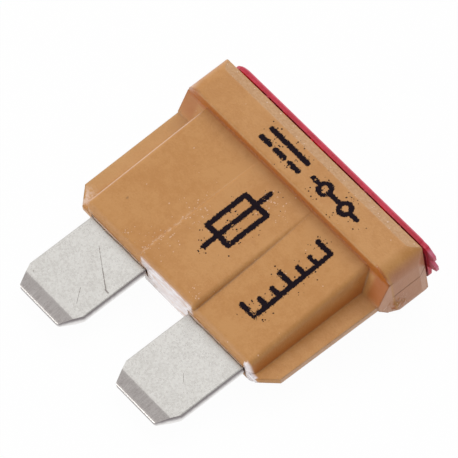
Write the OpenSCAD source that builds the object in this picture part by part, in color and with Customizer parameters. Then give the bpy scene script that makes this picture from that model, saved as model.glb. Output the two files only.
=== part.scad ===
/* [Head] */
// Width of the head from end to end (mm)
head_width = 19.1; // [18.9:0.05:19.4]
// Thickness of the head, printed face to back face (mm)
head_thickness = 5.1; // [4.9:0.05:5.3]
// Height of the head's upright sides above its underside (mm)
head_side_height = 2.27; // [2.0:0.01:2.5]
// Radius of the head's upright corners (mm)
head_corner_radius = 1.2; // [1.0:0.05:1.4]
// Radius of the edge round the underside of the head (mm)
head_lower_edge = 0.2; // [0.12:0.02:0.3]
// Height of the bevel that runs round the top of the head (mm)
head_bevel_height = 0.55; // [0.4:0.05:0.7]
// How far the bevel leans in on the printed face and the back (mm)
bevel_inset_face = 0.22; // [0.15:0.01:0.3]
// How far the bevel leans in on the left end (mm)
bevel_inset_left = 0.08; // [0.05:0.01:0.15]
// How far the bevel leans in on the right end (mm)
bevel_inset_right = 0.28; // [0.2:0.01:0.32]
// Rounding between the bevel and the flat rim (mm)
rim_round = 0.15; // [0.1:0.01:0.2]
// Height of the broken lower corner at the right end, above the head's underside (mm)
break_height = 0.41; // [0.3:0.01:0.5]
// Distance from the mid-plane back to the break on the right end (mm)
break_back = 1.8; // [1.7:0.05:2.0]
// Margin from the head's right end in to the break (mm)
break_margin = 0.15; // [0.1:0.01:0.2]
// Width of the broken face (mm)
break_size = 1.8; // [1.6:0.1:2.0]
// Tilt of the broken face from the printed face's direction (degrees)
break_tilt = 122; // [115:1:130]
// Turn of the broken face towards the underside (degrees)
break_turn = 28; // [20:1:35]

/* [Body] */
// Height of the body from its bottom face to the head's underside (mm)
body_height = 9.55; // [9.4:0.05:9.8]
// Step from the head's face back to the panel beside it (mm)
head_step = 0.75; // [0.7:0.01:0.8]
// Thickness of the panel block at the bottom (mm)
panel_thickness_bottom = 2.4; // [2.3:0.05:2.5]
// Wall between the cavity and the outside at the mid-plane (mm)
side_wall = 0.58; // [0.5:0.02:0.66]
// Lean of the block's sides from the mid-plane to the face, at the bottom (mm)
side_draft_bottom = 0.2; // [0.15:0.01:0.25]
// Lean of the block's sides from the mid-plane to the face, near the head (mm)
side_draft_top = 0.28; // [0.2:0.01:0.32]
// Radius of the panel block's upright edges (mm)
panel_edge_radius = 0.42; // [0.3:0.02:0.5]
// Radius of the panel block's bottom edges (mm)
bottom_edge_radius = 0.5; // [0.44:0.02:0.6]

/* [Middle strip] */
// Width of the raised middle strip near the head (mm)
strip_width_top = 5.4; // [5.2:0.05:5.6]
// Width of the raised middle strip at the bottom (mm)
strip_width_bottom = 5.32; // [5.1:0.02:5.5]
// Rise of the strip above the panels near the head (mm)
strip_rise_top = 0.01; // [0.01:0.01:0.1]
// Rise of the strip above the panels at the bottom (mm)
strip_rise_bottom = 0.38; // [0.3:0.02:0.45]
// Radius of the strip's long edges (mm)
strip_edge_radius = 0.34; // [0.3:0.02:0.4]

/* [Side fins] */
// Margin from the head's end in to the fin, near the head (mm)
fin_margin_top = 0.05; // [0.02:0.01:0.1]
// Margin from the head's end in to the fin, at the bottom (mm)
fin_margin_bottom = 0.2; // [0.15:0.01:0.3]
// Thickness of a fin (mm)
fin_thickness = 0.4; // [0.3:0.05:0.5]
// Corner cut at the foot of each fin (mm)
fin_corner_cut = 1.1; // [0.9:0.05:1.3]
// Thickness of the gusset where it meets the head (mm)
gusset_thickness = 3.1; // [2.9:0.05:3.2]
// Height of the gusset below the head (mm)
gusset_height = 1.0; // [0.8:0.05:1.2]

/* [Cavity] */
// Gap between the element's plates and the cavity's end walls (mm)
cavity_clearance = 0.08; // [0.05:0.01:0.12]
// Thickness of the cavity (mm)
cavity_thickness = 1.7; // [1.5:0.05:1.8]
// Depth from the head's underside to the ledge that carries the shoulders (mm)
ledge_depth = 4.95; // [4.5:0.05:5.3]
// Corner radius of the cavity in plan (mm)
cavity_corner_radius = 0.4; // [0.3:0.05:0.5]
// Gap round each blade in its channel (mm)
channel_clearance = 0.1; // [0.06:0.01:0.14]

/* [Fuse element] */
// Width of one blade (mm)
blade_width = 5.2; // [5.0:0.05:5.3]
// Clear space between the two blades (mm)
blade_gap = 4.1; // [4.1:0.05:4.3]
// Thickness of the sheet (mm)
blade_thickness = 0.65; // [0.6:0.05:0.7]
// Length of the blades below the body (mm)
blade_length = 6.32; // [6.0:0.02:6.6]
// Width of the corner cut at each blade tip (mm)
tip_cut_width = 0.8; // [0.6:0.05:1.0]
// Length of the corner cut at each blade tip (mm)
tip_cut_length = 1.45; // [1.2:0.05:1.7]
// Radius of the corners at each blade tip (mm)
tip_corner_radius = 0.3; // [0.2:0.05:0.4]
// Length of the pressed lead-in slope at each blade tip (mm)
lead_in_length = 0.92; // [0.6:0.02:1.1]
// Thickness that the lead-in leaves at the tip (mm)
tip_thickness = 0.36; // [0.3:0.02:0.4]
// Rounding along the sheet's sheared edges (mm)
sheet_edge_radius = 0.1; // [0.05:0.01:0.15]
// Overhang of the shoulder towards the other blade (mm)
shoulder_inner = 0.5; // [0.4:0.05:0.6]
// Overhang of the shoulder towards the side wall (mm)
shoulder_outer = 0.17; // [0.12:0.01:0.2]
// Thickness of the fusible link (mm)
link_thickness = 0.25; // [0.2:0.05:0.35]
// Width of the fusible link (mm)
link_width = 0.5; // [0.4:0.05:0.6]
// Mean radius of the link's arch (mm)
link_arch_radius = 0.95; // [0.85:0.05:1.0]
// Height of the link above the shoulder (mm)
link_height = 2.4; // [2.0:0.1:2.8]

/* [Cap] */
// Margin from the head's end in to the cap plate, on the left (mm)
cap_margin_left = 0.35; // [0.25:0.05:0.45]
// Margin from the head's end in to the cap plate, on the right (mm)
cap_margin_right = 0.45; // [0.35:0.05:0.55]
// Margin from the head's face in to the cap plate (mm)
cap_margin_face = 0.65; // [0.6:0.01:0.7]
// Thickness of the cap plate above its foot (mm)
cap_plate_height = 0.36; // [0.3:0.02:0.5]
// Height of the narrower foot under the cap plate (mm)
cap_foot_height = 0.2; // [0.14:0.02:0.26]
// How far the foot stands back from the plate's edge (mm)
cap_foot_inset = 0.26; // [0.2:0.02:0.3]
// Corner radius of the cap plate on the left (mm)
cap_radius_left = 1.5; // [1.2:0.05:1.7]
// Corner radius of the cap plate on the right (mm)
cap_radius_right = 0.8; // [0.6:0.05:1.0]
// Rounding of the cap plate's upper edge (mm)
cap_edge_radius = 0.1; // [0.05:0.01:0.15]
// Gap round the cap's spigot in the mouth of the cavity (mm)
spigot_clearance = 0.05; // [0.03:0.01:0.08]
// Depth of the spigot below the cap plate (mm)
spigot_depth = 1.3; // [1.1:0.1:1.5]
// Width of each foot that holds down a plate of the element (mm)
hold_down_width = 3.0; // [2.6:0.1:3.4]
// Length of each foot below the spigot (mm)
hold_down_length = 0.95; // [0.8:0.05:1.1]
// Reach of the torn moulding nub beyond the cap plate (mm)
nub_reach = 0.8; // [0.7:0.05:0.85]
// Height of the torn nub where it leaves the plate (mm)
nub_height = 0.3; // [0.24:0.02:0.32]
// Breadth of each lobe of the torn nub (mm)
nub_breadth = 1.1; // [1.0:0.05:1.2]
// Distance of the torn nub from the middle of the plate's end (mm)
nub_offset = 0.75; // [0.6:0.05:0.8]
// Distance of each lobe from the middle of the nub (mm)
nub_spread = 0.5; // [0.4:0.05:0.55]
// Size of the broken tip of each lobe (mm)
nub_tip = 0.2; // [0.14:0.02:0.24]

/* [Hidden] */
$fn = 48;
overlap = 0.4;
edge_facets = 28;
edge_steps = 5;

half_gap = blade_gap / 2;
blade_outer = half_gap + blade_width;
blade_centre = half_gap + blade_width / 2;
channel_thickness = blade_thickness + 2 * channel_clearance;
channel_width = blade_width + 2 * channel_clearance;
bevel_start = body_height + head_side_height;
bevel_end = bevel_start + head_bevel_height;
rim_height = bevel_end + rim_round;
ledge_height = body_height - ledge_depth;
plate_inner = half_gap - shoulder_inner;
plate_outer = blade_outer + shoulder_outer;
link_level = ledge_height + link_height;
cavity_width = 2 * (plate_outer + cavity_clearance);
block_width = cavity_width + 2 * side_wall;
panel_thickness_top = head_thickness - 2 * head_step;
strip_thickness_top = panel_thickness_top + 2 * strip_rise_top;
strip_thickness_bottom = panel_thickness_bottom + 2 * strip_rise_bottom;
fin_top = head_width / 2 - fin_margin_top;
fin_bottom = head_width / 2 - fin_margin_bottom;
fin_half = fin_thickness / 2;
spigot_width = cavity_width - 2 * spigot_clearance;
spigot_thickness = cavity_thickness - 2 * spigot_clearance;
spigot_radius = cavity_corner_radius - spigot_clearance;
spigot_end = rim_height - spigot_depth;
element_top = spigot_end - hold_down_length;
cap_left = head_width / 2 - cap_margin_left;
cap_right = head_width / 2 - cap_margin_right;
cap_half = head_thickness / 2 - cap_margin_face;
plate_foot = rim_height + cap_foot_height;
cap_top = plate_foot + cap_plate_height;
nub_level = cap_top - cap_plate_height / 2;

// Rectangle with rounded corners, drawn about the origin.
module rounded_plan(w, t, r) {
    square([w - 2 * r, t], center = true);
    square([w, t - 2 * r], center = true);
    for (sx = [-1, 1])
        for (sy = [-1, 1])
            translate([sx * (w / 2 - r), sy * (t / 2 - r)])
                circle(r);
}

// Upright prism of a plan drawn in X and Z, from one height up to another.
module upright(low, high) {
    translate([0, low, 0])
        rotate([-90, 0, 0])
            linear_extrude(high - low)
                children();
}

// Prism of an outline drawn in Y and Z, run along X over a width.
module across(width) {
    rotate([90, 0, 90])
        linear_extrude(width, center = true)
            children();
}

// Round disc with a soft rim, its axis along X, for a bottom corner.
module corner_disc(disc_radius, soft) {
    rotate([0, 90, 0])
        rotate_extrude($fn = edge_facets)
            intersection() {
                union() {
                    translate([disc_radius - soft, 0])
                        circle(soft, $fn = edge_facets);
                    translate([0, -soft])
                        square([disc_radius - soft, 2 * soft]);
                }
                translate([0, -soft])
                    square([disc_radius, 2 * soft]);
            }
}

// Block that tapers in height, with soft edges, a rounder bottom and its widest line at mid-plane.
module soft_block(wide_low, wide_high, wide_mid, thick_low, thick_high, soft, low_radius, top) {
    hull() {
        for (sx = [-1, 1])
            for (sz = [-1, 1]) {
                translate([sx * (wide_low / 2 - soft), low_radius, sz * (thick_low / 2 - low_radius)])
                    corner_disc(low_radius, soft);
                translate([sx * (wide_high / 2 - soft), top, sz * (thick_high / 2 - soft)])
                    sphere(soft, $fn = edge_facets);
            }
        for (sx = [-1, 1])
            for (level = [low_radius, top])
                translate([sx * (wide_mid / 2 - soft), level, 0])
                    sphere(soft, $fn = edge_facets);
    }
}

// Points of a soft edge: a quarter turn of radius r about a centre, from one angle on.
function soft_edge(across_at, level, r, from_angle) = [
    for (i = [0:edge_steps])
        [across_at + r * cos(from_angle + i * 90 / edge_steps),
         level + r * sin(from_angle + i * 90 / edge_steps)]
];

// Outline of the head's section from its underside up to the rim, for one half width.
function head_side(half, inset) = concat(
    soft_edge(half - head_lower_edge, body_height + head_lower_edge, head_lower_edge, -90),
    [[half, bevel_start]],
    soft_edge(half - inset - rim_round, bevel_end, rim_round, 0)
);

// Whole section of the head, with the bevel's inset on the near side and on the far side.
module head_section(half, inset_near, inset_far) {
    for (turn = [0, 1])
        mirror([turn, 0])
            polygon(concat([[0, body_height]],
                head_side(half, turn == 0 ? inset_near : inset_far), [[0, rim_height]]));
}

module head_solid() {
    intersection() {
        upright(body_height, rim_height)
            rounded_plan(head_width, head_thickness, head_corner_radius);
        linear_extrude(head_thickness, center = true)
            head_section(head_width / 2, bevel_inset_right, bevel_inset_left);
        rotate([0, -90, 0])
            linear_extrude(head_width, center = true)
                head_section(head_thickness / 2, bevel_inset_face, bevel_inset_face);
    }
}

// Block that takes off the corner where the moulding gate was torn away.
module gate_break() {
    translate([head_width / 2 - break_margin, body_height + break_height, -break_back])
        rotate([0, break_tilt, -break_turn])
            translate([-break_size / 2, -break_size / 2, 0])
                cube(break_size);
}

module fins() {
    linear_extrude(fin_thickness, center = true)
        polygon([
            [fin_corner_cut - fin_bottom, 0],
            [fin_bottom - fin_corner_cut, 0],
            [fin_bottom, fin_corner_cut],
            [fin_top, body_height + overlap],
            [-fin_top, body_height + overlap],
            [-fin_bottom, fin_corner_cut]
        ]);
}

// Sloping gussets between the underside of the head and the fins.
module gussets() {
    half = gusset_thickness / 2;
    across(head_width)
        polygon([
            [body_height - gusset_height, -fin_half],
            [body_height, -half],
            [body_height + overlap, -half],
            [body_height + overlap, half],
            [body_height, half],
            [body_height - gusset_height, fin_half]
        ]);
}

module housing() {
    color([0.74, 0.56, 0.39])
        difference() {
            union() {
                head_solid();
                soft_block(block_width - 2 * side_draft_bottom, block_width - 2 * side_draft_top,
                    block_width, panel_thickness_bottom, panel_thickness_top,
                    panel_edge_radius, bottom_edge_radius, body_height + overlap);
                soft_block(strip_width_bottom, strip_width_top, strip_width_bottom,
                    strip_thickness_bottom, strip_thickness_top,
                    strip_edge_radius, bottom_edge_radius, body_height + overlap);
                fins();
                gussets();
            }
            upright(ledge_height, rim_height + overlap)
                rounded_plan(cavity_width, cavity_thickness, cavity_corner_radius);
            for (side = [-1, 1])
                translate([side * blade_centre, 0, 0])
                    upright(-overlap, ledge_height + overlap)
                        square([channel_width, channel_thickness], center = true);
            gate_break();
        }
}

// Outline of one blade about its own centre line, from its tip up to the shoulder.
module blade_outline() {
    half = blade_width / 2;
    r = tip_corner_radius;
    hull() {
        for (side = [-1, 1]) {
            translate([side * (half - tip_cut_width - r / 2), r - blade_length])
                circle(r);
            translate([side * (half - r), tip_cut_length - blade_length + r / 2])
                circle(r);
        }
        translate([-half, ledge_height])
            square([blade_width, overlap]);
    }
}

// Section of the sheet along a blade, with the lead-in slopes and the rounded tip.
module sheet_section() {
    half = blade_thickness / 2;
    nose = tip_thickness / 2;
    polygon([
        [nose - blade_length, -nose],
        [nose - blade_length, nose],
        [lead_in_length - blade_length, half],
        [ledge_height + overlap, half],
        [ledge_height + overlap, -half],
        [lead_in_length - blade_length, -half]
    ]);
    translate([nose - blade_length, 0])
        circle(nose);
}

module blade() {
    intersection() {
        linear_extrude(blade_thickness, center = true)
            blade_outline();
        across(blade_width)
            sheet_section();
        upright(-blade_length, ledge_height + overlap)
            rounded_plan(blade_width, blade_thickness, sheet_edge_radius);
    }
}

// Arched link that melts when the fuse blows.
module fusible_link() {
    arm = plate_inner + overlap - link_arch_radius + link_width / 2;
    linear_extrude(link_thickness, center = true) {
        translate([0, link_level])
            difference() {
                circle(link_arch_radius + link_width / 2);
                circle(link_arch_radius - link_width / 2);
                translate([-link_arch_radius - link_width, -link_arch_radius - link_width])
                    square([2 * (link_arch_radius + link_width), link_arch_radius + link_width]);
            }
        for (side = [-1, 1])
            translate([side * (link_arch_radius - link_width / 2 + arm / 2), link_level - link_width / 2])
                square([arm, link_width], center = true);
    }
}

module fuse_element() {
    color([0.80, 0.79, 0.78]) {
        for (side = [-1, 1])
            translate([side * blade_centre, 0, 0])
                blade();
        for (side = [0, 1])
            mirror([side, 0, 0])
                translate([plate_inner, ledge_height, -blade_thickness / 2])
                    cube([plate_outer - plate_inner, element_top - ledge_height, blade_thickness]);
        fusible_link();
    }
}

// Plan of the cap plate, its edge drawn in by an inset.
module cap_plan(inset) {
    hull()
        for (sz = [-1, 1]) {
            translate([cap_radius_left - cap_left, sz * (cap_half - cap_radius_left)])
                circle(cap_radius_left - inset);
            translate([cap_right - cap_radius_right, sz * (cap_half - cap_radius_right)])
                circle(cap_radius_right - inset);
        }
}

// One lobe of the torn moulding gate, left standing on the end of the cap.
module nub_lobe(across_at, reach) {
    hull() {
        translate([cap_right - cap_radius_right, nub_level - nub_height / 2, across_at - nub_breadth / 2])
            cube([cap_radius_right, nub_height, nub_breadth]);
        translate([cap_right + reach - nub_tip, nub_level - nub_tip / 2, across_at - nub_tip])
            cube([nub_tip, nub_tip, 2 * nub_tip]);
    }
}

module top_cap() {
    color([0.79, 0.18, 0.27]) {
        hull() {
            upright(plate_foot, cap_top - cap_edge_radius)
                cap_plan(0);
            upright(plate_foot, cap_top)
                cap_plan(cap_edge_radius);
        }
        upright(rim_height, plate_foot)
            cap_plan(cap_foot_inset);
        upright(spigot_end, rim_height)
            rounded_plan(spigot_width, spigot_thickness, spigot_radius);
        for (side = [-1, 1])
            translate([side * blade_centre, 0, 0])
                upright(element_top, spigot_end)
                    square([hold_down_width, spigot_thickness], center = true);
        nub_lobe(nub_offset - nub_spread, nub_reach);
        nub_lobe(nub_offset + nub_spread, nub_reach - nub_tip / 2);
    }
}

housing();
fuse_element();
top_cap();
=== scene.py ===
import math
import bmesh
import bpy
import numpy as np
from mathutils import Matrix, Vector
from mathutils.bvhtree import BVHTree


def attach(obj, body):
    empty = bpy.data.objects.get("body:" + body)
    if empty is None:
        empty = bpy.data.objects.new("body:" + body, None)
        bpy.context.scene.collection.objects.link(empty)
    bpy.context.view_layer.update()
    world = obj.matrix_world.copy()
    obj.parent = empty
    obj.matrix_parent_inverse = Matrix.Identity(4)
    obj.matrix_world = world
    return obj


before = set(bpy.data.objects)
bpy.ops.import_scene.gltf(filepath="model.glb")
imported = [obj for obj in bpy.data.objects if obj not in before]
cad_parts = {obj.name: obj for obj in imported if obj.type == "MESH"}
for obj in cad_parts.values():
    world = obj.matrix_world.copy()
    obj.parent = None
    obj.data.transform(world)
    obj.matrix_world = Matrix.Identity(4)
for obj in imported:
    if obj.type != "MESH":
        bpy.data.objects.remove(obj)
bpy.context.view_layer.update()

MM = 0.001
BODY_HEIGHT = 9.55

# Camera: the picture's right, its bottom and the view direction, as rows. Clip distances in metres.
VIEW_AXES = np.array([
    [0.6296, 0.7692, -0.1093],
    [0.6242, -0.5846, -0.5183],
    [-0.4625, 0.2581, -0.8482],
])
CAMERA_DISTANCE = 400.99
VIEW_SHIFT = np.array([3.6814, -1.7072, CAMERA_DISTANCE])
PIXELS_PER_MM = 16.5669
PICTURE_PIXELS = 458
SENSOR_WIDTH = 36
CLIP_NEAR, CLIP_FAR = 0.01, 20


def make_camera():
    """Camera at the photograph's angle, from the measured axes and distance."""
    q = np.linalg.qr(VIEW_AXES.T)[0]
    axes = (q * np.sign(np.sum(q * VIEW_AXES.T, axis=0))).T
    eye = -axes.T @ VIEW_SHIFT + np.array([0, BODY_HEIGHT, 0])
    data = bpy.data.cameras.new("camera")
    data.sensor_width = SENSOR_WIDTH
    data.lens = PIXELS_PER_MM * CAMERA_DISTANCE / PICTURE_PIXELS * SENSOR_WIDTH
    data.clip_start = CLIP_NEAR
    data.clip_end = CLIP_FAR
    camera = bpy.data.objects.new("camera", data)
    bpy.context.scene.collection.objects.link(camera)
    placed = Matrix.Identity(4)
    for row in range(3):
        placed[row][0] = axes[0][row]
        placed[row][1] = -axes[1][row]
        placed[row][2] = -axes[2][row]
        placed[row][3] = eye[row] * MM
    camera.matrix_world = placed
    bpy.context.scene.camera = camera


make_camera()


# Nodes.
def add(tree, kind, inputs=(), **settings):
    """A node of that kind, its settings and its inputs set or wired."""
    made = tree.nodes.new("ShaderNode" + kind)
    for name, value in settings.items():
        setattr(made, name, value)
    for name, value in dict(inputs).items():
        if isinstance(value, bpy.types.NodeSocket):
            tree.links.new(value, made.inputs[name])
        else:
            made.inputs[name].default_value = value
    return made


def calc(tree, operation, *values, clamp=False):
    """Result of one Math node."""
    made = add(tree, "Math", enumerate(values), operation=operation, use_clamp=clamp)
    return made.outputs[0]


def times(tree, first, *others):
    """Product of the values."""
    for other in others:
        first = calc(tree, "MULTIPLY", first, other)
    return first


def most(tree, first, *others):
    """Greatest of the values."""
    for other in others:
        first = calc(tree, "MAXIMUM", first, other)
    return first


def vectors(tree, operation, first, second):
    """Result of one Vector Math node: a number for a dot product or a distance, else a vector."""
    made = add(tree, "VectorMath", {0: first, 1: second}, operation=operation)
    return made.outputs["Value" if operation in ("DOT_PRODUCT", "DISTANCE") else "Vector"]


def smooth(tree, value, low, high, to_low=0.0, to_high=1.0):
    """Value carried smoothly from one range to another."""
    made = add(tree, "MapRange", {"Value": value, "From Min": low, "From Max": high,
                                  "To Min": to_low, "To Max": to_high},
               interpolation_type="SMOOTHSTEP")
    return made.outputs["Result"]


def within(tree, value, rise, fall):
    """1 between the rise and the fall, two ranges that the value crosses smoothly."""
    return times(tree, smooth(tree, value, *rise), smooth(tree, value, *fall))


def blend_colour(tree, amount, under, over):
    """Colour that goes from under to over as amount goes from 0 to 1."""
    made = add(tree, "Mix", {0: amount, 6: under, 7: over}, data_type="RGBA")
    return made.outputs[2]


def noise(tree, place, per_mm, detail=2.0, roughness=0.5, stretch=(1, 1, 1)):
    """Noise of that fineness along the place in millimetres."""
    stretched = add(tree, "Mapping", {"Vector": place, "Scale": stretch}, vector_type="POINT")
    made = add(tree, "TexNoise", {"Vector": stretched.outputs[0], "Scale": per_mm,
                                  "Detail": detail, "Roughness": roughness})
    return made.outputs["Fac"]


def new_group(name, inputs, outputs):
    """A node group with these named inputs and outputs, and its in and out nodes."""
    group = bpy.data.node_groups.new(name, "ShaderNodeTree")
    for label, kind in inputs:
        group.interface.new_socket(label, in_out="INPUT", socket_type="NodeSocket" + kind)
    for label, kind in outputs:
        group.interface.new_socket(label, in_out="OUTPUT", socket_type="NodeSocket" + kind)
    return group, group.nodes.new("NodeGroupInput"), group.nodes.new("NodeGroupOutput")


def use(tree, group, **inputs):
    """The group as a node, with its inputs set or wired by name."""
    made = tree.nodes.new("ShaderNodeGroup")
    made.node_tree = group
    for name, value in inputs.items():
        socket = made.inputs[name.replace("_", " ")]
        if isinstance(value, bpy.types.NodeSocket):
            tree.links.new(value, socket)
        else:
            socket.default_value = value
    return made


def make_specks():
    """Small irregular dots: Voronoi cells, of which only the share given by amount holds a dot."""
    group, gin, gout = new_group(
        "specks",
        [("place", "Vector"), ("per mm", "Float"), ("amount", "Float"), ("size", "Float")],
        [("mask", "Float")])
    cells = add(group, "TexVoronoi", {"Vector": gin.outputs["place"], "Scale": gin.outputs["per mm"]})
    chosen = add(group, "SeparateColor", {0: cells.outputs["Color"]})
    holds = calc(group, "LESS_THAN", chosen.outputs[0], gin.outputs["amount"])
    radius = times(group, chosen.outputs[1], gin.outputs["size"])
    ragged = calc(group, "MULTIPLY_ADD", noise(group, gin.outputs["place"], 22.0), 0.25, -0.12)
    reach = calc(group, "ADD", cells.outputs["Distance"], ragged)
    inside = calc(group, "LESS_THAN", reach, radius)
    group.links.new(times(group, inside, holds), gout.inputs["mask"])
    return group


def make_edge_wear_and_highlight():
    """Where an edge lies, broken up by noise, and the rounded normal.

    An edge is where the rounded normal leaves the true one.
    """
    group, gin, gout = new_group("edge_wear_and_highlight", [("place", "Vector"), ("radius", "Float")],
                                 [("mask", "Float"), ("normal", "Vector")])
    rounded = add(group, "Bevel", {"Radius": gin.outputs["radius"]}, samples=4)
    true = add(group, "NewGeometry")
    same = vectors(group, "DOT_PRODUCT", rounded.outputs[0], true.outputs["Normal"])
    turned = smooth(group, same, 0.995, 0.86)
    broken = smooth(group, noise(group, gin.outputs["place"], 3.0, 3.0), 0.3, 0.6, 0.45, 1.0)
    group.links.new(times(group, turned, broken), gout.inputs["mask"])
    group.links.new(rounded.outputs[0], gout.inputs["normal"])
    return group


def make_stroke():
    """A scratch: 1 where the distance in plan from the line between two points is under half its width."""
    group, gin, gout = new_group(
        "stroke",
        [("place", "Vector"), ("start", "Vector"), ("end", "Vector"), ("half width", "Float")],
        [("mask", "Float")])
    plan = vectors(group, "MULTIPLY", gin.outputs["place"], (1, 1, 0))
    run = vectors(group, "SUBTRACT", gin.outputs["end"], gin.outputs["start"])
    away = vectors(group, "SUBTRACT", plan, gin.outputs["start"])
    along = vectors(group, "DOT_PRODUCT", away, run)
    whole = vectors(group, "DOT_PRODUCT", run, run)
    share = calc(group, "DIVIDE", along, whole, clamp=True)
    foot = add(group, "VectorMath", {0: run, "Scale": share}, operation="SCALE").outputs[0]
    gap = vectors(group, "DISTANCE", away, foot)
    ragged = calc(group, "MULTIPLY_ADD", noise(group, gin.outputs["place"], 9.0), 0.06, -0.03)
    reach = calc(group, "ADD", gap, ragged)
    group.links.new(calc(group, "LESS_THAN", reach, gin.outputs["half width"]), gout.inputs["mask"])
    return group


SPECKS = make_specks()
EDGE_WEAR_AND_HIGHLIGHT = make_edge_wear_and_highlight()
STROKE = make_stroke()


def new_material(name):
    """Material with its shader, the place on the object in millimetres and the way the surface faces."""
    made = bpy.data.materials.new(name)
    made.use_nodes = True
    tree = made.node_tree
    shader = tree.nodes["Principled BSDF"]
    coords = add(tree, "TexCoord")
    place = add(tree, "VectorMath", {0: coords.outputs["Object"], "Scale": 1 / MM},
                operation="SCALE").outputs[0]
    return made, tree, shader, place, coords.outputs["Normal"]


def wire(tree, shader, **sockets):
    """Wires or sets the shader's inputs by name."""
    for name, value in sockets.items():
        socket = shader.inputs[name.replace("_", " ")]
        if isinstance(value, bpy.types.NodeSocket):
            tree.links.new(value, socket)
        else:
            socket.default_value = value


def bump(tree, height, depth_mm, over=None):
    """Normal from a height of 0 to 1 over that depth, on top of another normal if one is given."""
    made = add(tree, "Bump", {"Height": height, "Distance": depth_mm * MM})
    if over is not None:
        tree.links.new(over, made.inputs["Normal"])
    return made.outputs[0]


def facing(tree, normal, side):
    """How far the surface faces that side, from -1 to 1."""
    return vectors(tree, "DOT_PRODUCT", normal, side)


def near(tree, place, middle, reach):
    """1 at the middle of a place on the part, falling smoothly to 0 at that reach in millimetres."""
    return smooth(tree, vectors(tree, "DISTANCE", place, middle), 0.0, reach, 1.0, 0.0)


# Scuffed places of the housing: middle and reach. The first four lie on and beside the strip's lower part.
SCUFFS = (
    ((-2.5, 1.4, 1.5), 1.7),
    ((-4.2, 0.7, 1.3), 0.8),
    ((-2.5, 4.4, 1.6), 1.9),
    ((2.2, 0.7, 1.6), 0.9),
    ((0.8, 8.2, 1.8), 1.6),
    ((9.5, 9.9, -0.9), 1.3),
)


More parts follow.
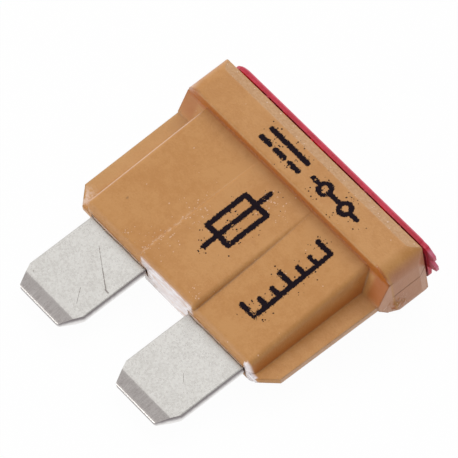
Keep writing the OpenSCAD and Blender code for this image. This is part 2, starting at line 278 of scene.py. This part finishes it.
def housing_plastic():
    """Tan moulded plastic: soft mottling, fine grain, dark dots, pale crumbs, paler edges that are partly
    wear and partly painted highlight, and painted shade, highlights and reflections.
    """
    made, tree, shader, place, normal = new_material("housing_plastic")
    x, y, z = add(tree, "SeparateXYZ", {0: place}).outputs
    wide = calc(tree, "ABSOLUTE", x)
    sideways = calc(tree, "ABSOLUTE", facing(tree, normal, (1, 0, 0)))
    mottle = noise(tree, place, 0.35, 3.0, 0.55)
    cloud = noise(tree, place, 1.9, 3.0, 0.6)
    grain = noise(tree, place, 7.0, 2.0, 0.65)
    depth = times(tree, mottle, 0.45)
    depth = calc(tree, "MULTIPLY_ADD", cloud, 0.30, depth)
    depth = calc(tree, "MULTIPLY_ADD", grain, 0.25, depth)
    tone = smooth(tree, depth, 0.40, 0.60)
    base = blend_colour(tree, tone, (0.500, 0.222, 0.057, 1), (0.555, 0.266, 0.081, 1))

    # Edges paler: partly rubbed wear, partly a painted highlight that grows towards the front. Rubbed most
    # of all along the lower part of the strip's left edge.
    edges = use(tree, EDGE_WEAR_AND_HIGHLIGHT, place=place, radius=0.18 * MM).outputs
    worn_and_highlit = times(tree, edges["mask"], smooth(tree, z, -2.2, 0.0, 0.2, 0.42))
    inner = times(tree, smooth(tree, calc(tree, "ABSOLUTE", z), 0.80, 0.50), smooth(tree, wide, 9.15, 8.95))
    below_head = within(tree, y, (9.2, 9.4), (9.7, 9.6))
    worn_and_highlit = times(tree, worn_and_highlit, calc(tree, "SUBTRACT", 1.0, most(tree, inner, below_head)))
    base = blend_colour(tree, worn_and_highlit, base, (0.74, 0.54, 0.38, 1))
    beside = calc(tree, "ABSOLUTE", calc(tree, "ADD", x, 2.62))
    rub = times(tree, smooth(tree, beside, 0.26, 0.04), smooth(tree, y, 4.8, 2.6), smooth(tree, z, 0.9, 1.1))
    patches = smooth(tree, noise(tree, place, 3.0, 3.0, 0.7), 0.42, 0.60)
    base = blend_colour(tree, times(tree, rub, patches, 0.50), base, (0.80, 0.60, 0.44, 1))

    # Painted shade in the crease below the head, on the side faces behind the fins and on the gussets;
    # painted highlight on the fins' outer sides and painted light on the left fin.
    under = times(tree, within(tree, y, (9.36, 9.5), (9.7, 9.58)), smooth(tree, z, 2.5, 2.3))
    flank = times(tree, smooth(tree, sideways, 0.72, 0.97), smooth(tree, y, 9.75, 9.6))
    outside = smooth(tree, wide, 8.95, 9.10)
    fin_rim_highlight = times(tree, flank, outside, 0.45)
    flank = times(tree, flank, smooth(tree, z, 1.3, 0.3, 0.15, 1.4), calc(tree, "SUBTRACT", 1.0, outside))
    sides = most(tree, smooth(tree, x, 8.2, 8.6, 0.0, 0.92), smooth(tree, x, -8.2, -8.6, 0.0, 0.50))
    gusset = times(tree, sides, smooth(tree, y, 8.3, 8.8), smooth(tree, y, 9.75, 9.6))
    painted_crease_shade = most(tree, times(tree, under, 0.75), times(tree, flank, 0.5), gusset)
    base = blend_colour(tree, painted_crease_shade, base, (0.44, 0.125, 0.018, 1))
    # Painted highlight on the fins' outer side faces.
    base = blend_colour(tree, fin_rim_highlight, base, (0.74, 0.50, 0.37, 1))
    # Painted light on the left fin's front face.
    left_fin_light = times(tree, smooth(tree, x, -8.2, -8.5), smooth(tree, y, 9.0, 8.4), 0.35)
    base = blend_colour(tree, left_fin_light, base, (0.62, 0.36, 0.14, 1))

    # Bevel of the rim: painted shade, a little darker, and more grained.
    shaded_bevel = smooth(tree, facing(tree, normal, (0, 0.37, 0.93)), 0.965, 0.99)
    shaded_bevel = times(tree, shaded_bevel, smooth(tree, y, 11.6, 11.9))
    grit = smooth(tree, noise(tree, place, 5.0, 3.0, 0.8), 0.40, 0.62)
    gritty = blend_colour(tree, grit, (0.40, 0.21, 0.078, 1), (0.52, 0.32, 0.165, 1))
    base = blend_colour(tree, times(tree, shaded_bevel, 0.55), base, gritty)

    # Painted reflection: the strip's bottom face and the torn right bottom corner painted almost white, as
    # the bright floor's sheen, and given a coat.
    down = smooth(tree, facing(tree, normal, (0, -1, 0)), 0.78, 0.97)
    uneven = smooth(tree, noise(tree, place, 1.1, 3.0, 0.7, (0.8, 1.0, 1.6)), 0.36, 0.52, 0.45, 1.0)
    strip_sheen = times(tree, smooth(tree, wide, 2.65, 2.25), down, uneven, smooth(tree, y, 0.45, 0.15))
    torn = calc(tree, "MULTIPLY_ADD", noise(tree, place, 2.2), 0.9, x)
    corner_sheen = times(tree, within(tree, torn, (7.7, 8.0), (9.0, 8.75)), smooth(tree, y, 0.30, 0.08))
    bottom_sheen = most(tree, strip_sheen, corner_sheen)
    streak = smooth(tree, noise(tree, place, 1.3, 2.0, 0.6, (0.6, 1.0, 2.4)), 0.42, 0.62)
    sheen_colour = blend_colour(tree, streak, (0.95, 0.88, 0.90, 1), (0.84, 0.70, 0.68, 1))
    base = blend_colour(tree, bottom_sheen, base, sheen_colour)

    # Painted highlights: the flash below the bottom face, two corners at the left and the panel's round left
    # edge painted pale.
    lip_sheen = times(tree, smooth(tree, y, 0.0, -0.03), 0.8)
    corner_highlight = times(tree, near(tree, place, (-8.7, 0.35, 0.5), 1.3),
                   smooth(tree, noise(tree, place, 2.6, 3.0, 0.6), 0.40, 0.58))
    head_corner_highlight = times(tree, near(tree, place, (-9.5, 9.6, 2.4), 0.9), 0.6)
    edge_highlight = smooth(tree, facing(tree, normal, (-0.76, 0, 0.65)), 0.90, 0.99, 0.0, 0.42)
    edge_highlight = times(tree, edge_highlight, smooth(tree, x, -7.0, -7.3), smooth(tree, y, 9.3, 8.9))
    painted_highlights = most(tree, lip_sheen, corner_highlight, head_corner_highlight, edge_highlight)
    base = blend_colour(tree, painted_highlights, base, (0.82, 0.62, 0.50, 1))

    # Sparse dark dots, and crumbs where the housing is scuffed.
    dots = use(tree, SPECKS, place=place, per_mm=0.8, amount=0.12, size=0.11).outputs[0]
    base = blend_colour(tree, times(tree, dots, 0.5), base, (0.13, 0.055, 0.02, 1))
    scuffs = [near(tree, place, middle, reach) for middle, reach in SCUFFS]
    scuff = most(tree, *scuffs, rub, times(tree, shaded_bevel, 0.18))
    share = calc(tree, "MULTIPLY_ADD", scuff, 0.50, 0.006)
    crumbs = use(tree, SPECKS, place=place, per_mm=8.5, amount=share, size=0.50).outputs[0]
    base = blend_colour(tree, times(tree, crumbs, 0.55), base, (0.86, 0.62, 0.46, 1))

    # The two ends of the head: a cooler colour painted on as painted shade and reflection, and the mould's
    # seam across them.
    on_end = times(tree, smooth(tree, sideways, 0.55, 0.95), smooth(tree, y, 9.7, 9.9))
    base = blend_colour(tree, times(tree, on_end, 0.55), base, (0.45, 0.19, 0.135, 1))
    wander = calc(tree, "MULTIPLY_ADD", noise(tree, place, 1.5), 0.10, 0.12)
    level = calc(tree, "SUBTRACT", z, wander)
    step = times(tree, smooth(tree, level, 0.05, -0.05), on_end)
    line = times(tree, smooth(tree, calc(tree, "ABSOLUTE", level), 0.10, 0.02), on_end)
    base = blend_colour(tree, times(tree, line, 0.45), base, (0.20, 0.085, 0.03, 1))

    height = calc(tree, "MULTIPLY_ADD", cloud, 0.9, grain)
    height = calc(tree, "MULTIPLY_ADD", crumbs, 1.6, height)
    height = calc(tree, "MULTIPLY_ADD", step, 4.0, height)
    wire(tree, shader, Base_Color=base, Coat_Weight=bottom_sheen,
         Roughness=smooth(tree, grain, 0.3, 0.7, 0.33, 0.45),
         Normal=bump(tree, height, 0.012, edges["normal"]))
    return made


# Scratches on the blades: start, end and half width.
SCRATCHES = (
    ((-5.3, -1.05, 0), (-3.9, -1.90, 0), 0.020),
    ((-3.9, -1.90, 0), (-2.55, -2.70, 0), 0.034),
    ((-2.62, -2.70, 0), (-2.34, -2.72, 0), 0.050),
    ((-3.77, -3.70, 0), (-3.42, -4.14, 0), 0.016),
    ((-3.42, -4.14, 0), (-3.06, -4.57, 0), 0.016),
    ((5.1, -2.9, 0), (5.6, -3.3, 0), 0.014),
)


def tinned_metal():
    """Tin plating on sheet: fine frosted speckle, a few dark dots, scratches, and sheared edges painted with
    shade and a highlight.
    """
    made, tree, shader, place, normal = new_material("tinned_metal")
    y, z = add(tree, "SeparateXYZ", {0: place}).outputs[1:]
    frost = noise(tree, place, 7.5, 3.0, 0.7)
    cloud = noise(tree, place, 1.1, 2.0, 0.5)
    depth = calc(tree, "MULTIPLY_ADD", frost, 0.75, times(tree, cloud, 0.25))
    tone = smooth(tree, depth, 0.38, 0.60)
    base = blend_colour(tree, tone, (0.575, 0.555, 0.525, 1), (0.665, 0.648, 0.618, 1))
    dots = use(tree, SPECKS, place=place, per_mm=2.4, amount=0.10, size=0.15).outputs[0]
    base = blend_colour(tree, times(tree, dots, 0.55), base, (0.22, 0.18, 0.16, 1))
    scored = 0.0
    for start, end, half_width in SCRATCHES:
        mark = use(tree, STROKE, place=place, start=start, end=end, half_width=half_width).outputs[0]
        scored = most(tree, scored, mark)
    scored = times(tree, scored, smooth(tree, z, 0.2, 0.3))
    base = blend_colour(tree, times(tree, scored, 0.7), base, (0.16, 0.13, 0.12, 1))

    # Coined lead-in faces: duller, with drag marks along the blade.
    side = calc(tree, "ABSOLUTE", facing(tree, normal, (0, 0, 1)))
    coined = times(tree, smooth(tree, side, 0.75, 0.90), smooth(tree, y, -5.22, -5.58))
    drag = smooth(tree, noise(tree, place, 3.6, 3.0, 0.6, (2.2, 0.35, 1.0)), 0.30, 0.70)
    dull = blend_colour(tree, drag, (0.40, 0.355, 0.345, 1), (0.53, 0.485, 0.47, 1))
    base = blend_colour(tree, times(tree, coined, 0.75), base, dull)

    # Sheared edges: a dark band at the top, a painted reflection of shade, that turns to a pale painted
    # highlight towards the back.
    edge = smooth(tree, side, 0.75, 0.35)
    torn = calc(tree, "MULTIPLY_ADD", noise(tree, place, 4.0), 0.16, z)
    toward_shade = smooth(tree, torn, -0.16, 0.28)
    edge_shade_and_highlight = blend_colour(tree, toward_shade, (0.86, 0.84, 0.83, 1), (0.22, 0.195, 0.20, 1))
    base = blend_colour(tree, edge, base, edge_shade_and_highlight)

    wire(tree, shader, Base_Color=base, Metallic=1.0,
         Roughness=smooth(tree, frost, 0.3, 0.7, 0.26, 0.34),
         Normal=bump(tree, calc(tree, "SUBTRACT", frost, scored), 0.003))
    return made


def cap_plastic():
    """Red moulded plastic: slight mottling, grain, paler edges that are partly wear and partly painted
    highlight, a painted highlight at the top, painted shade and light on the foot, and a pale torn end.
    """
    made, tree, shader, place = new_material("cap_plastic")[:4]
    mottle = noise(tree, place, 0.8, 3.0, 0.5)
    grain = noise(tree, place, 6.0, 2.0, 0.6)
    depth = calc(tree, "MULTIPLY_ADD", mottle, 0.6, times(tree, grain, 0.4))
    tone = smooth(tree, depth, 0.38, 0.62)
    base = blend_colour(tree, tone, (0.48, 0.008, 0.030, 1), (0.62, 0.022, 0.062, 1))
    # Edges paler: partly wear, partly a painted highlight.
    worn_and_highlit = use(tree, EDGE_WEAR_AND_HIGHLIGHT, place=place, radius=0.08 * MM).outputs[0]
    base = blend_colour(tree, times(tree, worn_and_highlit, 0.25), base, (0.72, 0.25, 0.33, 1))
    x, y = add(tree, "SeparateXYZ", {0: place}).outputs[:2]
    # Painted highlight: paler towards the top.
    top_highlight = times(tree, smooth(tree, y, 12.90, 13.05), 0.35)
    base = blend_colour(tree, top_highlight, base, (0.60, 0.14, 0.22, 1))
    # Painted shade and light: the foot in the gap darkened, with brighter patches.
    foot = smooth(tree, y, 12.76, 12.70)
    lit = smooth(tree, noise(tree, place, 0.9, 3.0, 0.6), 0.48, 0.60)
    patchy = blend_colour(tree, lit, (0.28, 0.003, 0.014, 1), (0.85, 0.010, 0.040, 1))
    base = blend_colour(tree, foot, base, patchy)
    torn = times(tree, smooth(tree, x, 9.15, 9.5), smooth(tree, mottle, 0.3, 0.6, 0.4, 0.9))
    base = blend_colour(tree, torn, base, (0.66, 0.19, 0.28, 1))
    wire(tree, shader, Base_Color=base,
         Roughness=smooth(tree, grain, 0.3, 0.7, 0.34, 0.46), Specular_IOR_Level=0.42,
         Normal=bump(tree, grain, 0.010))
    return made


HOUSING_PLASTIC = housing_plastic()
CAP_PLASTIC = cap_plastic()
for node_name, material in (("housing", HOUSING_PLASTIC), ("fuse_element", tinned_metal()),
                            ("top_cap", CAP_PLASTIC)):
    for material_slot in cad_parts[node_name].material_slots:
        material_slot.material = material


# Pieces.
def bare_tree(node_name):
    """The node's triangles, to lay thin pieces on."""
    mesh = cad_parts[node_name].data
    points = [v.co for v in mesh.vertices]
    return BVHTree.FromPolygons(points, [tuple(p.vertices) for p in mesh.polygons])


HOUSING_SKIN = bare_tree("housing")
CAST_FROM = 0.02
WELD_GAP = 1e-8


def lay(points, toward, lift):
    """Points in millimetres dropped on the housing along a direction, then lifted off it by that much."""
    way = Vector(toward)
    laid = []
    for point in points:
        start = Vector(point) * MM - way * CAST_FROM
        hit = HOUSING_SKIN.ray_cast(start, way)[0]
        spot = hit if hit is not None else Vector(point) * MM
        laid.append(spot - way * lift * MM)
    return np.array(laid)


def grid_faces(rows, columns):
    """Quads of a grid whose points run along the columns first."""
    first = (np.arange(rows - 1)[:, None] * columns + np.arange(columns - 1)).ravel()
    return np.stack([first, first + 1, first + columns + 1, first + columns], axis=1)


def renumber(faces):
    """The points that the faces use, and the faces numbered over those points alone."""
    kept, packed = np.unique(faces, return_inverse=True)
    return kept, packed.reshape(faces.shape)


def new_piece(name, points, faces, material):
    """A mesh piece, in metres, that rides on the fuse."""
    mesh = bpy.data.meshes.new(name)
    mesh.from_pydata(points.tolist(), [], faces.tolist())
    mesh.polygons.foreach_set("use_smooth", np.ones(len(faces), dtype=bool))
    mesh.materials.append(material)
    piece = bpy.data.objects.new(name, mesh)
    bpy.context.scene.collection.objects.link(piece)
    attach(piece, "root")
    return piece


def close_up(piece):
    """Welds the points that meet at a piece's poles and turns all its faces outward."""
    shell = bmesh.new()
    shell.from_mesh(piece.data)
    bmesh.ops.remove_doubles(shell, verts=shell.verts, dist=WELD_GAP)
    bmesh.ops.recalc_face_normals(shell, faces=shell.faces)
    shell.to_mesh(piece.data)
    shell.free()


def stroke_gap(x, y, strokes, half_width):
    """Signed distance to pen strokes: least distance to any of their segments, less half the pen's width."""
    best = np.full(x.shape, 1e3)
    for stroke in strokes:
        for (ax, ay), (bx, by) in zip(stroke[:-1], stroke[1:]):
            run = np.array([bx - ax, by - ay])
            share = np.clip(((x - ax) * run[0] + (y - ay) * run[1]) / (run @ run), 0, 1)
            best = np.minimum(best, np.hypot(x - ax - share * run[0], y - ay - share * run[1]))
    return best - half_width


def ring(middle_x, middle_y, radius, count):
    """That many points once round a circle, the last on the first."""
    turns = np.radians(np.linspace(0, 360, count))
    return [(middle_x + radius * math.cos(t), middle_y + radius * math.sin(t)) for t in turns]


def printing_ink():
    """Black pad-print ink: ragged edges, small losses and a few stray dots, cut by alpha."""
    made, tree, shader, place = new_material("printing_ink")[:4]
    gap = add(tree, "Attribute", attribute_name="ink_gap").outputs["Fac"]
    ragged = calc(tree, "MULTIPLY_ADD", noise(tree, place, 7.0, 4.0, 0.85), 0.42, -0.21)
    lost = smooth(tree, noise(tree, place, 1.4, 4.0, 0.75), 0.58, 0.70)
    reach = calc(tree, "ADD", gap, ragged)
    reach = calc(tree, "MULTIPLY_ADD", lost, 0.16, reach)
    inked = calc(tree, "LESS_THAN", reach, 0.0)
    patchy = smooth(tree, noise(tree, place, 0.7), 0.46, 0.56)
    share = times(tree, smooth(tree, gap, 0.1, 0.85, 0.45, 0.0), patchy)
    stray = use(tree, SPECKS, place=place, per_mm=8.0, amount=share, size=0.5).outputs[0]
    black = blend_colour(tree, noise(tree, place, 6.0), (0.004, 0.002, 0.005, 1), (0.016, 0.008, 0.013, 1))
    wire(tree, shader, Alpha=most(tree, inked, stray), Base_Color=black,
         Roughness=0.6, Specular_IOR_Level=0.06)
    return made


INK = printing_ink()
INK_LIFT = 0.006
INK_STEP = 0.06
SPATTER_REACH = 0.85


def print_mark(name, strokes, pen):
    """Ink patch: a fine grid over the strokes' extent, laid on the face, that carries the stroke gap."""
    spots = np.array([spot for stroke in strokes for spot in stroke])
    low = spots.min(axis=0) - SPATTER_REACH
    high = spots.max(axis=0) + SPATTER_REACH
    columns = int((high[0] - low[0]) / INK_STEP) + 2
    rows = int((high[1] - low[1]) / INK_STEP) + 2
    x, y = np.meshgrid(np.linspace(low[0], high[0], columns), np.linspace(low[1], high[1], rows))
    x, y = x.ravel(), y.ravel()
    points = lay(np.stack([x, y, np.zeros_like(x)], axis=1), (0, 0, -1), INK_LIFT)
    gap = stroke_gap(x, y, strokes, pen / 2)
    faces = grid_faces(rows, columns)
    flat = np.ptp(points[:, 2][faces], axis=1) < INK_STEP * 0.5 * MM
    kept, faces = renumber(faces[(gap[faces].min(axis=1) < SPATTER_REACH) & flat])
    piece = new_piece(name, points[kept], faces, INK)
    carried = piece.data.attributes.new("ink_gap", "FLOAT", "POINT")
    carried.data.foreach_set("value", gap[kept].astype(np.float32))


# Generic signs, no lettering: direct current and a closed contact on the head, a fuse on the strip, a scale.
WHOLE_BAR_Y, DASHES_Y, CONTACT_Y = 11.2, 10.4, 10.8
CONTACT_RADIUS, RING_POINTS = 0.4, 20
SCALE_X, SCALE_FOOT, SCALE_TOP = 5.5, 2.4, 8.4
LONG_TICK_X, SHORT_TICK_X = 4.3, 4.8
print_mark("print_current_sign", [[(-3.3, WHOLE_BAR_Y), (0.1, WHOLE_BAR_Y)]] + [
    [(left, DASHES_Y), (right, DASHES_Y)]
    for left, right in ((-3.3, -2.5), (-2.0, -1.2), (-0.7, 0.1))], pen=0.36)
print_mark("print_contact_sign", [
    [(left, CONTACT_Y), (right, CONTACT_Y)] for left, right in ((1.1, 1.8), (2.6, 3.7), (4.5, 5.2))] + [
    ring(middle, CONTACT_Y, CONTACT_RADIUS, RING_POINTS) for middle in (2.2, 4.1)], pen=0.33)
print_mark("print_fuse_sign", [
    [(-1.2, 4.3), (0.8, 4.3), (0.8, 7.3), (-1.2, 7.3), (-1.2, 4.3)],
    [(-0.2, 3.2), (-0.2, 8.4)]], pen=0.38)
print_mark("print_scale", [[(SCALE_X, SCALE_FOOT), (SCALE_X, SCALE_TOP)]] + [
    [(SCALE_X, SCALE_FOOT + step), (LONG_TICK_X if step % 3 == 0 else SHORT_TICK_X, SCALE_FOOT + step)]
    for step in range(7)], pen=0.35)


SCAR_Y = (8.95, 10.75)
SCAR_Z = (-1.75, 0.15)
SCAR_POINTS = 60
SCAR_SEED = 5
SCAR_WAVES = ((2.5, 0.5), (5.0, 0.3), (10.0, 0.2))
WAVES_EACH = 6
SCAR_BORDER = 1.45


def gate_scar():
    """Torn gate on the head's right end, sunk at its border.

    Its height over the end face is 0.08 bulge + 0.45 rough (bulge + 0.2) - 0.02. bulge is 1.15 less
    the square of a slanted ellipse, and rough a sum of sines whose ways and starts come from the seed.
    """
    y, z = np.meshgrid(np.linspace(*SCAR_Y, SCAR_POINTS), np.linspace(*SCAR_Z, SCAR_POINTS))
    y, z = y.ravel(), z.ravel()
    rng = np.random.default_rng(SCAR_SEED)
    rough = np.zeros_like(y)
    for fineness, share in SCAR_WAVES:
        for _ in range(WAVES_EACH):
            way = rng.uniform(0, 2 * math.pi)
            along = y * math.cos(way) + z * math.sin(way)
            rough += share / WAVES_EACH * np.sin(fineness * along * 2 + rng.uniform(0, 6.28))
    across = ((y - 9.85 + 0.5 * (z + 0.7)) / 0.62) ** 2 + ((z + 0.75) / 0.72) ** 2
    bulge = np.clip(1.15 - across, -0.3, 1)
    height = 0.08 * bulge + 0.45 * rough * np.clip(bulge + 0.2, 0, 1) - 0.02
    ground = lay(np.stack([np.full_like(y, 9.0), y, z], axis=1), (-1, 0, 0), 0.0)
    ground[:, 0] += height * MM
    faces = grid_faces(SCAR_POINTS, SCAR_POINTS)
    kept, faces = renumber(faces[across[faces].max(axis=1) < SCAR_BORDER])
    new_piece("gate_scar", ground[kept], faces, HOUSING_PLASTIC)


gate_scar()


def tube(length, rows, columns):
    """Grids of the way along, from 0 to length, and of the angle round, and the quads that join them."""
    along, turn = np.meshgrid(np.linspace(0, length, rows), np.linspace(0, 2 * math.pi, columns + 1)[:-1],
                              indexing="ij")
    row_start = np.arange(rows - 1)[:, None] * columns
    around = np.arange(columns)
    low = (row_start + around).ravel()
    high = (row_start + (around + 1) % columns).ravel()
    return along, turn, np.stack([low, high, high + columns, low + columns], axis=1)


LIP_LEVEL = 0.475
LIP_THICKNESS = 0.035
LIP_WAVES = ((5, 0.5), (14, 0.3), (37, 0.2))


def flash_lip(name, start, end, seed):
    """Fin of flash before a blade's slot: an ellipse swept along x, (0.12 + 0.04 wave) taper high.

    wave is a sum of three sines whose starts come from the seed, and taper = sqrt(1 - (2 share - 1)^8).
    """
    share, turn, faces = tube(1, rows=90, columns=12)
    rng = np.random.default_rng(seed)
    wave = sum(size * np.sin(share * pace + rng.uniform(0, 6)) for pace, size in LIP_WAVES)
    taper = np.sqrt(np.clip(1 - (2 * share - 1) ** 8, 0, 1))
    height = (0.12 + 0.04 * wave) * taper
    x = start + (end - start) * share
    y = 0.04 * taper - height / 2 + height / 2 * np.cos(turn)
    z = LIP_LEVEL + 0.02 * wave - LIP_THICKNESS * taper * np.sin(turn)
    points = np.stack([x, y, z], axis=-1).reshape(-1, 3) * MM
    close_up(new_piece(name, points, faces, HOUSING_PLASTIC))


flash_lip("flash_lip_left", -7.35, -1.95, 11)
flash_lip("flash_lip_right", 1.95, 7.35, 12)


def pebble(name, middle, reach, seed, material):
    """Lump of flash: a sphere of radius 1 + 0.25 sin(2 turn + a) sin(up) + 0.2 sin(3 up + b).

    The seed gives a and b, and the sphere is stretched by its reach along x, y and z.
    """
    up, turn, faces = tube(math.pi, rows=10, columns=16)
    rng = np.random.default_rng(seed)
    swell = (1 + 0.25 * np.sin(2 * turn + rng.uniform(0, 6)) * np.sin(up)
             + 0.2 * np.sin(3 * up + rng.uniform(0, 6)))
    points = np.stack([swell * np.sin(up) * np.cos(turn), swell * np.cos(up),
                       swell * np.sin(up) * np.sin(turn)], axis=-1)
    points = (points.reshape(-1, 3) * reach + middle) * MM
    close_up(new_piece(name, points, faces, material))


# Red flash that bridges the gap between the cap and the rim: where along the gap, and its reach.
CAP_GAP = (12.63, 1.82)
CAP_FLASH = (
    (-5.57, (0.24, 0.13, 0.14)),
    (3.65, (0.18, 0.13, 0.13)),
    (-1.4, (0.10, 0.10, 0.10)),
    (6.9, (0.12, 0.10, 0.10)),
)
for index, (flash_x, flash_reach) in enumerate(CAP_FLASH):
    pebble("cap_flash_%d" % index, (flash_x, *CAP_GAP), flash_reach, index, CAP_PLASTIC)

# The fuse lies on its back: on the head's rear lower edge and on the strip's rear bottom edge.
REST_HEAD = (9.75, -2.56)
REST_STRIP = (0.30, -1.585)
FLOOR_HALF = 400.0
FLOOR_GREY = 0.86
SEEN_WHITE = 0.97
MIRRORED_WHITE = 0.9


def make_floor():
    """Flat floor through the two edges on which the fuse lies, z = z1 + slope (y - y1)."""
    slope = (REST_HEAD[1] - REST_STRIP[1]) / (REST_HEAD[0] - REST_STRIP[0])
    corners = [(x, y, REST_STRIP[1] + slope * (y - REST_STRIP[0]))
               for x, y in ((-FLOOR_HALF, -FLOOR_HALF), (FLOOR_HALF, -FLOOR_HALF),
                            (FLOOR_HALF, FLOOR_HALF), (-FLOOR_HALF, FLOOR_HALF))]
    mesh = bpy.data.meshes.new("floor")
    mesh.from_pydata([tuple(c * MM for c in corner_sheen) for corner_sheen in corners], [], [(0, 1, 2, 3)])
    floor = bpy.data.objects.new("floor", mesh)
    bpy.context.scene.collection.objects.link(floor)
    paper = bpy.data.materials.new("floor_white")
    paper.use_nodes = True
    tree = paper.node_tree
    tree.nodes.clear()
    diffuse = add(tree, "BsdfDiffuse", {"Color": (FLOOR_GREY, FLOOR_GREY, FLOOR_GREY, 1)})
    white = add(tree, "Emission", {"Color": (1, 1, 1, 1), "Strength": 1.0})
    path = add(tree, "LightPath")
    seen = times(tree, path.outputs["Is Camera Ray"], SEEN_WHITE)
    mirrored = times(tree, path.outputs["Is Glossy Ray"], MIRRORED_WHITE)
    share = most(tree, seen, mirrored)
    both = add(tree, "MixShader", {0: share, 1: diffuse.outputs[0], 2: white.outputs[0]})
    out = add(tree, "OutputMaterial")
    tree.links.new(both.outputs[0], out.inputs[0])
    mesh.materials.append(paper)


make_floor()


# Lamps, in metres and watts.
LAMP_AIM = (0, 0.005, 0)
LAMP_DISTANCE = 0.6


def area_light(name, toward, size, power):
    """Soft white lamp that looks at the middle of the fuse from that direction."""
    data = bpy.data.lights.new(name, "AREA")
    data.shape = "DISK"
    data.size = size
    data.energy = power
    lamp = bpy.data.objects.new(name, data)
    bpy.context.scene.collection.objects.link(lamp)
    direction = Vector(toward).normalized()
    lamp.location = Vector(LAMP_AIM) + direction * LAMP_DISTANCE
    lamp.rotation_euler = direction.to_track_quat("Z", "Y").to_euler()


area_light("key_lamp", (-0.40, 0.90, 0.90), size=0.38, power=0.95)
area_light("left_lamp", (-0.55, -0.60, 0.60), size=0.38, power=0.46)
area_light("right_lamp", (0.90, 0.10, 0.45), size=0.38, power=0.14)
area_light("fill_lamp", (-0.20, -0.90, 0.30), size=0.30, power=1.05)


def make_world():
    """White room, a little brighter from the upper left, white where the camera sees it."""
    world = bpy.data.worlds.new("room")
    bpy.context.scene.world = world
    world.use_nodes = True
    tree = world.node_tree
    back = tree.nodes["Background"]
    coords = add(tree, "TexCoord")
    toward = vectors(tree, "DOT_PRODUCT", coords.outputs["Generated"], (-0.45, 0.74, 0.50))
    level = smooth(tree, toward, 0.2, 0.95, 0.38, 1.05)
    path = add(tree, "LightPath")
    level = most(tree, level, path.outputs["Is Camera Ray"])
    tree.links.new(level, back.inputs["Strength"])
    back.inputs["Color"].default_value = (1, 1, 1, 1)


make_world()
bpy.context.scene.view_settings.view_transform = "Standard"
